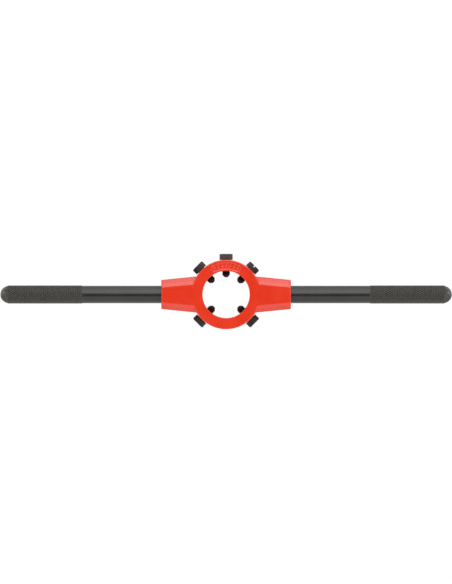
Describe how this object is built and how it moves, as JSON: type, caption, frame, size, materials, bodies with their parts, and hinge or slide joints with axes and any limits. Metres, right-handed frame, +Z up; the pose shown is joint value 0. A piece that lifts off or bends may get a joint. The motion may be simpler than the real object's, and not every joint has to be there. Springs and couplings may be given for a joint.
{
  "type": "die stock handle",
  "caption": "Two-handed die stock: a painted ring that holds a round threading die with slotted screws, between knurled steel bar handles.",
  "frame": {"origin": "on the ring's axis, in the flat face that the die goes in from, which the tool rests on", "axes": "+X along the handles, +Y from the ring's axis towards the spreading screw, +Z up the ring's axis towards the shoulder side"},
  "size_m": [0.315, 0.0524, 0.017],
  "materials": {
    "red_paint": "gloss",
    "black_steel": "satin",
    "screw_steel": "satin"
  },
  "bodies": {
    "housing": {"stock_body": "red_paint", "left_handle": "black_steel", "right_handle": "black_steel"},
    "spreader": {"spreading_screw": "screw_steel"},
    "adjuster_left": {"upper_left_screw": "screw_steel"},
    "adjuster_right": {"upper_right_screw": "screw_steel"},
    "holder_left": {"lower_left_screw": "screw_steel"},
    "holder_right": {"lower_right_screw": "screw_steel"}
  },
  "joints": [
    {"name": "spreading_screw_travel", "type": "slide", "parent": "housing", "child": "spreader", "axis": [0, 1, 0], "range_m": [0, 0.0075]},
    {"name": "upper_left_screw_travel", "type": "slide", "parent": "housing", "child": "adjuster_left", "axis": [-0.7071, 0.7071, 0], "range_m": [0, 0.0075]},
    {"name": "upper_right_screw_travel", "type": "slide", "parent": "housing", "child": "adjuster_right", "axis": [0.7071, 0.7071, 0], "range_m": [0, 0.0075]},
    {"name": "lower_left_screw_travel", "type": "slide", "parent": "housing", "child": "holder_left", "axis": [-0.7071, -0.7071, 0], "range_m": [0, 0.0075]},
    {"name": "lower_right_screw_travel", "type": "slide", "parent": "housing", "child": "holder_right", "axis": [0.7071, -0.7071, 0], "range_m": [0, 0.0075]}
  ]
}
